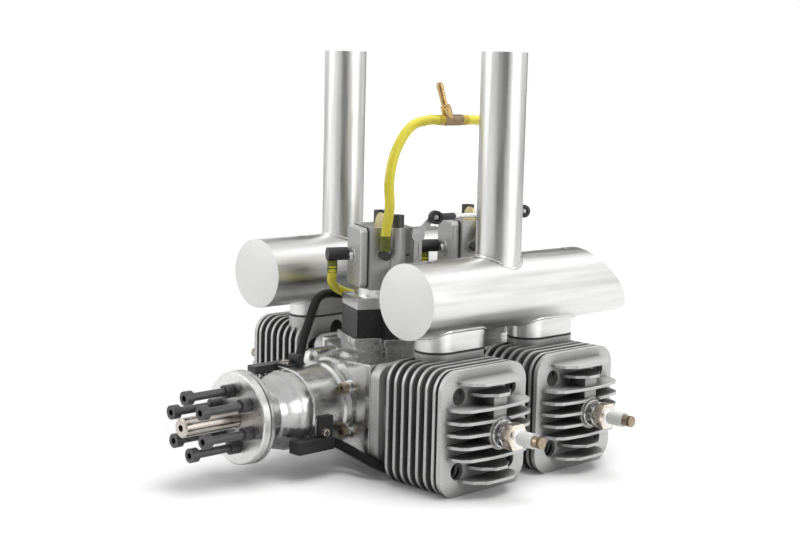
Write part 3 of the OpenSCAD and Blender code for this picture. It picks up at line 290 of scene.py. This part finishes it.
for name, obj in nodes.items():      # hoses and leads have no entry: curves replace them below
    if name.startswith("cylinder_") and name not in DRESS:
        DRESS[name] = sand
    elif name.startswith("piston_"):
        DRESS[name] = machined
    elif name.startswith("rod_"):
        DRESS[name] = plain_steel
    if name in DRESS:
        for s in obj.material_slots:
            s.material = DRESS[name]


# ---- curves for hoses and leads ----
def smooth_path(points, n):
    """A Catmull-Rom curve through the points, with n steps to each."""
    out = []
    for i in range(len(points) - 1):
        a, b = points[max(i - 1, 0)], points[i]
        c, d = points[i + 1], points[min(i + 2, len(points) - 1)]
        for j in range(n):
            t = j / n
            out.append(0.5 * ((2 * b) + (c - a) * t + (2 * a - 5 * b + 4 * c - d) * t * t
                              + (3 * b - a - 3 * c + d) * t ** 3))
    out.append(points[-1])
    return out


def add_piece(name, data, body):
    """Puts new geometry into the scene and onto the body that carries it."""
    obj = bpy.data.objects.new(name, data)
    bpy.context.collection.objects.link(obj)
    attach(obj, body)
    return obj


def round_curve(name, points, radius, material, res):
    """A round tube along straight steps between the points. Gives its data and its spline."""
    data = bpy.data.curves.new(name, "CURVE")
    data.dimensions = "3D"
    spline = data.splines.new("POLY")
    spline.points.add(len(points) - 1)
    for p, q in zip(spline.points, points):
        p.co = (*q, 1)
    data.bevel_depth = radius
    data.bevel_resolution = res
    data.materials.append(material)
    return data, spline


def curve_tube(name, points, radius, material, body, res=4):
    """A hose or lead with closed ends."""
    data, _ = round_curve(name, points, radius, material, res)
    data.use_fill_caps = True
    return add_piece(name, data, body)


low_route = [at(26.16, -232.78, -16.87), at(26.6, Y_NOSE + 11.4, -17.4), at(27.6, -226.6, -18.6),
             at(33, -222, -21.8),
             at(42, -220.2, -24.6), at(51.5, -218.6, -27.2), at(58.6, -213, -30.6),
             at(60.3, -203, -33.9), at(60, -188, CABLE_Z), at(59.5, -168, CABLE_Z),
             at(56, -153, CABLE_Z), at(46, -141, CABLE_Z), at(33, -126, CABLE_Z),
             at(21, -100, CABLE_Z), at(10, -60, CABLE_Z), at(0, -15, CABLE_Z),
             at(-5, 15, CABLE_Z), at(-7, 40, CABLE_Z), at(-7, 58, CABLE_Z)]
up_route = [at(-7.46, -229.06, 27.14), at(-8, Y_NOSE + 14.6, 28.5), at(-9, -225.2, 31),
            at(-15, -217.6, 39.2),
            at(-22, -207.6, 47.3), at(-29, -197.5, 55.3), at(-34.5, -188.5, 60.6),
            at(-38, -178, 62.4), at(-38.6, -166, 61), at(-36, -151, 59), at(-28, -139, 56.5),
            at(-16, -132, 53.5), at(-2, -129.8, 51.5), at(14, -130, 49.5), at(32, -130.5, 48),
            at(46, -131, 46), at(56.5, -131, 40), at(60, -131, 27), at(60, -131, 5),
            at(60, -130.5, -15), at(59.9, -128.5, -28), at(59.8, -121.5, -33.3),
            at(59.9, -111, CABLE_Z), at(60, -94, CABLE_Z), at(60, -75, CABLE_Z), at(57, -56, CABLE_Z),
            at(49, -42, CABLE_Z), at(38, -30, CABLE_Z), at(29, -14, CABLE_Z),
            at(24, 4, CABLE_Z), at(21, 20, CABLE_Z), at(20, 35, CABLE_Z)]
for label, route in (("lower", low_route), ("upper", up_route)):
    line = smooth_path(route, 3)
    lead = curve_tube(f"lead_{label}", line, LEAD_R * MM, lead_black, "engine")
    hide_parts(f"sensor_lead_{label}")

fuel_f = intake(Y_CARB_F, 23.6, -6.8, 96.6)
front_route = [fuel_f, fuel_f + Vector((0, 0, 0.0095)), at(21.6, -179, 124), at(TEE_X, -180, 142),
               at(TEE_X, -174.6, 161), at(TEE_X, -162, 175.5), at(TEE_X, -146, TEE_Z),
               at(TEE_X, -139, TEE_Z), at(TEE_X, -133.5, TEE_Z)]
fuel_r = intake(Y_CARB_R, 25.5, -6.8, 94)
tilt = math.radians(25)
lean = Vector((math.sin(tilt) * math.sin(PAIR_TURN), math.sin(tilt) * math.cos(PAIR_TURN), math.cos(tilt)))
rear_route = [fuel_r + 0.0033 * lean, fuel_r + 0.013 * lean, at(23.9, -86.9, 114),
              at(23.5, -82.9, 124), at(25, -66, 140), at(24, -69, 158), at(23, -82, 173),
              at(TEE_X, -98, 178.8), at(TEE_X, -107, TEE_Z), at(TEE_X, -116, TEE_Z)]
for label, route in (("front", front_route), ("rear", rear_route)):
    hose = curve_tube(f"fuel_line_{label}", smooth_path(route, 8), HOSE_R * MM, yellow_hose, "engine", 6)
    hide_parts(f"fuel_hose_{label}")
for label, yc in CARBS:
    route = [intake(yc, PULSE_X, PULSE_Y, 87), intake(yc, PULSE_X, PULSE_Y, 79), intake(yc, -13, -30.4, 73),
             intake(yc, -21.5, -25, 67.5), intake(yc, -26.3, -17, 63.4),
             intake(yc, -22.6, -11.2, 61.8), intake(yc, -17.6, -11, 61.7)]
    hose = curve_tube(f"pulse_line_{label}", smooth_path(route, 6), PULSE_R * MM, yellow_hose, "engine", 6)
    if label == "front":
        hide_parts("pulse_hoses")


# ---- small fittings ----
def mesh_piece(name, verts, faces, material, body, sharp=35):
    """A mesh shaded smooth, with edges sharper than the given degrees kept sharp."""
    data = bpy.data.meshes.new(name)
    data.from_pydata([tuple(v) for v in verts], [], faces)
    data.materials.append(material)
    data.shade_smooth()
    data.set_sharp_from_angle(angle=math.radians(sharp))
    return add_piece(name, data, body)


def turned(name, base, axis, profile, material, body, sides=40):
    """A turned piece: the profile lists millimetres along the axis and the radius there."""
    axis = Vector(axis).normalized()
    u = axis.orthogonal().normalized()
    w = axis.cross(u)
    verts, faces = [], []
    for d, r in profile:
        for k in range(sides):
            a = 2 * math.pi * k / sides
            verts.append(base + axis * (d * MM) + (u * math.cos(a) + w * math.sin(a)) * (r * MM))
    rows = len(profile)
    for i in range(rows - 1):
        for k in range(sides):
            n = (k + 1) % sides
            faces.append((i * sides + k, i * sides + n, (i + 1) * sides + n, (i + 1) * sides + k))
    faces.append(tuple(range(sides - 1, -1, -1)))
    faces.append(tuple((rows - 1) * sides + k for k in range(sides)))
    return mesh_piece(name, verts, faces, material, body)


def bead(name, points, radius, material, body, ripple=0.15):
    """A closed weld bead that swells and thins a little along its length."""
    data, spline = round_curve(name, points, radius, material, 3)
    for i, p in enumerate(spline.points):
        p.radius = 1 + ripple * math.sin(i * 1.9) * math.cos(i * 0.37)
    spline.use_cyclic_u = True
    return add_piece(name, data, body)


def on_can(side, x, y, way, lift=0.0):
    """The point of a canister's skin above (way 1) or below (way -1) its centre line at x and y."""
    return at(x, y, CAN_Z + way * math.sqrt(CAN_R ** 2 - (x - side * CAN_X) ** 2) + lift)


# Weld beads where the stacks and the necks meet the canisters, and the canisters' front caps
turns = [2 * math.pi * i / 96 for i in range(96)]
for label, side, front, stack_x, stack_y, ports in (
        ("right", 1, Y_R1 - 30, 76, -135.7, (Y_R1 + 7.5, Y_R2 + 7.5)),
        ("left", -1, Y_L1 - 66, -75, -131.7, (Y_L1 - 7.5, Y_L2 - 7.5))):
    ring = [on_can(side, stack_x + STACK_WELD_R * math.cos(a), stack_y + STACK_WELD_R * math.sin(a), 1, 0.1)
            for a in turns]
    bead(f"stack_weld_{label}", ring, 1.1 * MM, weld_metal, "engine")
    for j, py in enumerate(ports):
        ring = [on_can(side, side * NECK_X + NECK_WELD_R * math.cos(a),
                       py + NECK_WELD_R * math.sin(a) + (NECK_HALF if math.sin(a) > 0 else -NECK_HALF), -1)
                for a in turns]
        bead(f"neck_weld_{label}_{j}", ring, 1.0 * MM, weld_metal, "engine")
    turned(f"muffler_cap_{label}", at(side * CAN_X, front + 0.4, CAN_Z), (0, -1, 0),
           [(0, CAN_R - 0.1), (0.3, CAN_R - 0.1), (0.55, CAN_R - 0.6)], cap_metal, "engine", 96)


def box_piece(name, corner, axes, size, material, body):
    """A bevelled bar: a corner, three unit directions and three lengths in millimetres."""
    u, v, w = (Vector(a).normalized() * (d * MM) for a, d in zip(axes, size))
    verts = [corner + i * u + j * v + k * w for k in (0, 1) for j in (0, 1) for i in (0, 1)]
    faces = [(0, 2, 3, 1), (4, 5, 7, 6), (0, 1, 5, 4), (2, 6, 7, 3), (0, 4, 6, 2), (1, 3, 7, 5)]
    obj = mesh_piece(name, verts, faces, material, body)
    edge = obj.modifiers.new("edge", "BEVEL")
    edge.width = 0.12 * min(size) * MM
    edge.segments = 2
    return obj


def ridged(start, pitch, count, low_r, high_r):
    """Profile of a hose barb: saw-tooth rings one pitch apart."""
    out = [(start, low_r)]
    for k in range(count):
        out += [(start + pitch * k + 0.15, high_r), (start + pitch * (k + 0.85), low_r)]
    return out


def plate_skin(name, yc, half, z0, z1, y_back, y_front, inset, cut, material):
    """A cover over a carburettor's front face, with cut corners and a chamfered front edge."""
    def ring(g, y):
        w, c = half - g, max(cut - 0.4 * g, 0.3)
        a, b = z0 + g, z1 - g
        pts = [(-w + c, a), (w - c, a), (w, a + c), (w, b - c),
               (w - c, b), (-w + c, b), (-w, b - c), (-w, a + c)]
        return [intake(yc, x, y, z) for x, z in pts]

    rows = [ring(0, y_back), ring(0, y_front + inset), ring(inset, y_front)]
    verts = [v for r in rows for v in r]
    faces = [(8 * i + k, 8 * i + (k + 1) % 8, 8 * i + 8 + (k + 1) % 8, 8 * i + 8 + k)
             for i in range(2) for k in range(8)]
    faces += [tuple(range(7, -1, -1)), tuple(range(16, 24))]
    skin = mesh_piece(name, verts, faces, material, "engine")
    edge = skin.modifiers.new("edge", "BEVEL")
    edge.width, edge.segments = 0.25 * MM, 2
    return skin


# Pump covers as tall as the body, each over its gasket
for label, yc in CARBS:
    plate_skin(f"cover_gasket_{label}", yc, 14.3, 71.3, 110.5, -14.7, -15.3, 0.1, 2.0, gasket)
    cover = plate_skin(f"pump_cover_{label}", yc, 14.0, 71.6, 110.2, -15.35, -20.0, 0.9, 2.4, cover_metal)
    if label == "front":
        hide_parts("pump_covers")
    turned(f"pump_boss_{label}", intake(yc, 0, -19.8, 90.5), turn_dir(0, -1),
           [(0, 5.4), (0.8, 5.4), (1.1, 5.0), (0.9, 4.2)], cover_metal, "engine", 48)

# Screw in the middle of each pump cover, bright, with its slot drawn as a near-black bar of painted shade
for label, yc in CARBS:
    out = turn_dir(0, -1)
    head = intake(yc, 0, -21, 90.5)
    turned(f"pump_screw_{label}", head, out, [(0, 3.05), (1.75, 3.05), (2.15, 2.6)], bright_steel,
           "engine", 32)
    box_piece(f"pump_slot_{label}", intake(yc, -2.4, -23.2, 90.1),
              (turn_dir(1, 0), turn_dir(0, 1), (0, 0, 1)), (4.8, 0.25, 0.8), slot_shade_black, "engine")

# Screws of the two sensor brackets, with the cross recess drawn as near-black bars of painted shade
for label, base, out, up in (("lower", at(27.15, Y_NOSE + 7.3, -11), (1, 0, 0), (0, 0, 1)),
                             ("upper", at(-9, Y_NOSE + 5.3, 26.7), (0, 0, 1), (1, 0, 0))):
    turned(f"sensor_screw_{label}", base, out, [(0, 3.05), (1.4, 3.05), (2.2, 2.2)], warm_steel,
           "engine", 32)
    along = Vector((0, 1, 0))
    face = base + Vector(out) * (2.05 * MM)
    arm, width = 3.4, 0.7
    for j, (d, e) in enumerate(((along, Vector(up)), (Vector(up), along))):
        box_piece(f"sensor_cross_{label}_{j}", face - d * (arm / 2 * MM) - e * (width / 2 * MM),
                  (d, e, out), (arm, width, 0.25), slot_shade_black, "engine")

# Middle of the throttle link: a bright rod between the two ball ends
ball_x = 30 * math.cos(PAIR_TURN) + 24.5 * math.sin(PAIR_TURN)
ball_y = -30 * math.sin(PAIR_TURN) + 24.5 * math.cos(PAIR_TURN)
rod_from, rod_to = Y_CARB_F + ball_y + 17, Y_CARB_R + ball_y - 17
turned("link_rod", at(ball_x, rod_from, LINK_Z), (0, 1, 0), [(0, 1.56), (rod_to - rod_from, 1.56)],
       bright_steel, "link", 24)
for label, y, way in (("front", rod_from, -1), ("rear", rod_to, 1)):
    turned(f"link_neck_{label}", at(ball_x, y, LINK_Z), (0, way, 0),
           [(0, 1.9), (0.6, 2.3), (11, 2.3), (13, 2.9)], black_plastic, "link", 24)

# Hose ends stretched over their barbs
for label, yc, x, route in (("front", Y_CARB_F, 23.6, front_route), ("rear", Y_CARB_R, 25.5, rear_route)):
    start = route[0]
    way = (route[1] - route[0]).normalized()
    turned(f"fuel_end_{label}", start - way * 0.0001, way, ridged(0, 2.3, 4, 3.25, 3.5) + [(9.8, 3.25)],
           olive_hose, "engine", 32)
for label, yc in CARBS:
    turned(f"pulse_end_{label}", intake(yc, PULSE_X, PULSE_Y, 87.1), (0, 0, -1),
           ridged(0, 2.3, 3, 3.2, 3.45) + [(7.9, 3.2)], olive_hose, "engine", 32)
for label, y, way in (("front", -133.4, -1), ("rear", -116.1, 1)):
    turned(f"tee_hose_{label}", at(TEE_X, y, TEE_Z), (0, way, 0),
           [(-0.1, 3.3)] + ridged(0, 1.7, 3, 3.3, 3.5) + [(5.2, 3.25)], amber_hose, "engine", 32)

# Barb rings on the free branch of the tee
branch = (at(TEE_X, -137.5, 203) - at(TEE_X, -130, 184)).normalized()
turned("tee_barb", at(TEE_X, -131.5, 187.8), branch, ridged(2, 2.1, 6, 1.92, 2.35) + [(15.9, 1.95)],
       brass, "engine", 32)
turned("tee_branch", at(TEE_X, -127.9, 180.2), branch, [(0, 3.45), (7.2, 3.45), (8.6, 2.9)],
       old_brass, "engine", 6)
turned("tee_body", at(TEE_X, -133.3, TEE_Z), (0, 1, 0), [(0, 3.3), (0.5, 3.7), (16.7, 3.7), (17.2, 3.3)],
       old_brass, "engine", 40)

# Spark plugs: sealing ring, crimp and terminal
for label, side, y in (("right_front", 1, Y_R1), ("right_rear", 1, Y_R2),
                       ("left_front", -1, Y_L1), ("left_rear", -1, Y_L2)):
    axis = (side, 0, 0)
    turned(f"plug_ring_{label}", at(side * 126.1, y, 0), axis,
           [(0, 8.1), (0.3, 8.3), (1.0, 8.3), (1.3, 8.1)], bright_steel, "engine", 48)
    turned(f"plug_seat_{label}", at(side * 127.5, y, 0), axis, [(0, 7.4), (0.4, 7.7), (4.9, 7.7), (5.4, 7.2)],
           bright_steel, "engine", 48)
    turned(f"plug_crimp_{label}", at(side * 139.4, y, 0), axis,
           [(0, 6.6), (0.9, 6.5), (1.8, 5.6), (2.1, 4.62)], bright_steel, "engine", 48)
    knob = [(0, 2.2), (0.5, 3.0), (1.3, 3.35), (2.1, 3.0), (2.6, 2.0), (3.1, 1.7), (3.6, 1.9), (3.8, 3.3),
            (4.1, 3.45), (5.7, 3.45), (5.93, 3.2)]
    turned(f"plug_knob_{label}", at(side * 152.05, y, 0), axis, knob, old_brass, "engine", 40)

# Bell of the hub, turned in one smooth sweep
bell = [(-22, 20.66), (-19.8, 20.95), (-17.2, 21.86), (-14.5, 22.8), (-12, 23.46), (-9.8, 23.95), (-8, 24.2),
        (-7.3, 24.66), (-0.9, 24.66)]
turned("hub_bell", at(0, Y_NOSE - 22, 0), (0, 1, 0), [(d + 22, r) for d, r in bell], hub_metal, "crank", 160)

# Dark lines where the nose meets the case and the hub
for label, y, r in (("seam", Y_SEAM, 26.55), ("hub", Y_NOSE - 0.35, 24.0)):
    turned(f"joint_line_{label}", at(0, y - 0.15, 0), (0, 1, 0),
           [(0, r - 0.4), (0.1, r), (0.3, r), (0.4, r - 0.4)], gasket, "engine", 96)


# ---- floor, light, world ----
bpy.ops.mesh.primitive_plane_add(size=40, location=(0, 0, FLOOR_Z * MM))
floor = bpy.context.object
floor.name = "floor"
floor_mat, floor_tree, floor_bsdf = shader("floor_white", (0.88, 0.88, 0.88), 0.0, 0.7)
lift_path = floor_tree.nodes.new("ShaderNodeLightPath")
floor_place = floor_tree.nodes.new("ShaderNodeTexCoord")
reach = floor_tree.nodes.new("ShaderNodeVectorMath")
reach.operation = "LENGTH"
floor_tree.links.new(floor_place.outputs["Object"], reach.inputs[0])
sweep = floor_tree.nodes.new("ShaderNodeMapRange")
sweep.inputs["From Min"].default_value = 0.35
sweep.inputs["From Max"].default_value = 2.5
sweep.inputs["To Min"].default_value = 0.04
sweep.inputs["To Max"].default_value = 0.9
floor_tree.links.new(reach.outputs["Value"], sweep.inputs["Value"])
lift = floor_tree.nodes.new("ShaderNodeMath")
lift.operation = "MULTIPLY"
floor_tree.links.new(sweep.outputs["Result"], lift.inputs[1])
floor_tree.links.new(lift_path.outputs["Is Camera Ray"], lift.inputs[0])
floor_bsdf.inputs["Emission Color"].default_value = (1, 1, 1, 1)
floor_tree.links.new(lift.outputs[0], floor_bsdf.inputs["Emission Strength"])
floor.data.materials.append(floor_mat)


def aim(obj, place, target, axis):
    """Puts obj into the scene at place, with its local axis towards target."""
    bpy.context.collection.objects.link(obj)
    obj.location = place
    obj.rotation_euler = (Vector(target) - Vector(place)).to_track_quat(axis, "Y").to_euler()


def studio_card(name, place, target, size, tone):
    """A grey card that only shows in reflections, such as a studio puts beside polished metal."""
    w, h = size[0] / 2, size[1] / 2
    data = bpy.data.meshes.new(name)
    data.from_pydata([(-w, -h, 0), (w, -h, 0), (w, h, 0), (-w, h, 0)], [], [(0, 1, 2, 3)])
    data.materials.append(shader(name + "_paint", (tone, tone, tone), 0.0, 0.9)[0])
    obj = bpy.data.objects.new(name, data)
    aim(obj, place, target, "Z")
    obj.visible_camera = False
    obj.visible_diffuse = False
    obj.visible_shadow = False


centre = (0.0, -0.14, 0.05)
studio_card("front_card", (0.40, -0.54, 0.14), centre, (0.46, 0.5), 0.02)
studio_card("back_card", (-0.45, 0.72, 0.46), centre, (0.95, 0.72), 0.16)

world = bpy.data.worlds.new("studio")
bpy.context.scene.world = world
world.use_nodes = True
wt = world.node_tree
back = wt.nodes["Background"]
co = wt.nodes.new("ShaderNodeTexCoord")
sep = wt.nodes.new("ShaderNodeSeparateXYZ")
wt.links.new(co.outputs["Generated"], sep.inputs[0])
sky = wt.nodes.new("ShaderNodeValToRGB")
sky.color_ramp.elements[0].position = 0.0
sky.color_ramp.elements[0].color = (0.16, 0.16, 0.16, 1)
sky.color_ramp.elements[1].position = 1.0
sky.color_ramp.elements[1].color = (0.26, 0.26, 0.26, 1)
wt.links.new(sep.outputs["Z"], sky.inputs["Fac"])
path = wt.nodes.new("ShaderNodeLightPath")
seen = wt.nodes.new("ShaderNodeMath")
seen.operation = "MAXIMUM"
wt.links.new(path.outputs["Is Camera Ray"], seen.inputs[0])
clear = wt.nodes.new("ShaderNodeMath")
clear.operation = "MAXIMUM"
wt.links.new(path.outputs["Is Glossy Ray"], clear.inputs[0])
wt.links.new(path.outputs["Is Transmission Ray"], clear.inputs[1])
wt.links.new(clear.outputs[0], seen.inputs[1])
mix = wt.nodes.new("ShaderNodeMix")
mix.data_type = "RGBA"
mix.inputs[MIX_B].default_value = (1, 1, 1, 1)
wt.links.new(seen.outputs[0], mix.inputs[0])
wt.links.new(sky.outputs["Color"], mix.inputs[MIX_A])
wt.links.new(mix.outputs[MIX_OUT], back.inputs["Color"])
back.inputs["Strength"].default_value = 1.0


def softbox(name, place, target, size, power):
    """A white rectangular lamp that faces target."""
    data = bpy.data.lights.new(name, "AREA")
    data.shape = "RECTANGLE"
    data.size, data.size_y = size
    data.energy = power
    obj = bpy.data.objects.new(name, data)
    aim(obj, place, target, "-Z")
    return obj


top_light = softbox("top_box", (0.2, 0.1, 1.5), centre, (1.4, 1.4), 29)
top_light.visible_glossy = False
softbox("left_box", (-0.9, -1.3, 0.7), centre, (0.7, 1.0), 6)
softbox("right_box", (1.6, 0.3, 0.5), centre, (0.8, 0.9), 7)
softbox("back_box", (0.2, 1.1, 1.2), centre, (0.9, 0.6), 1.6)
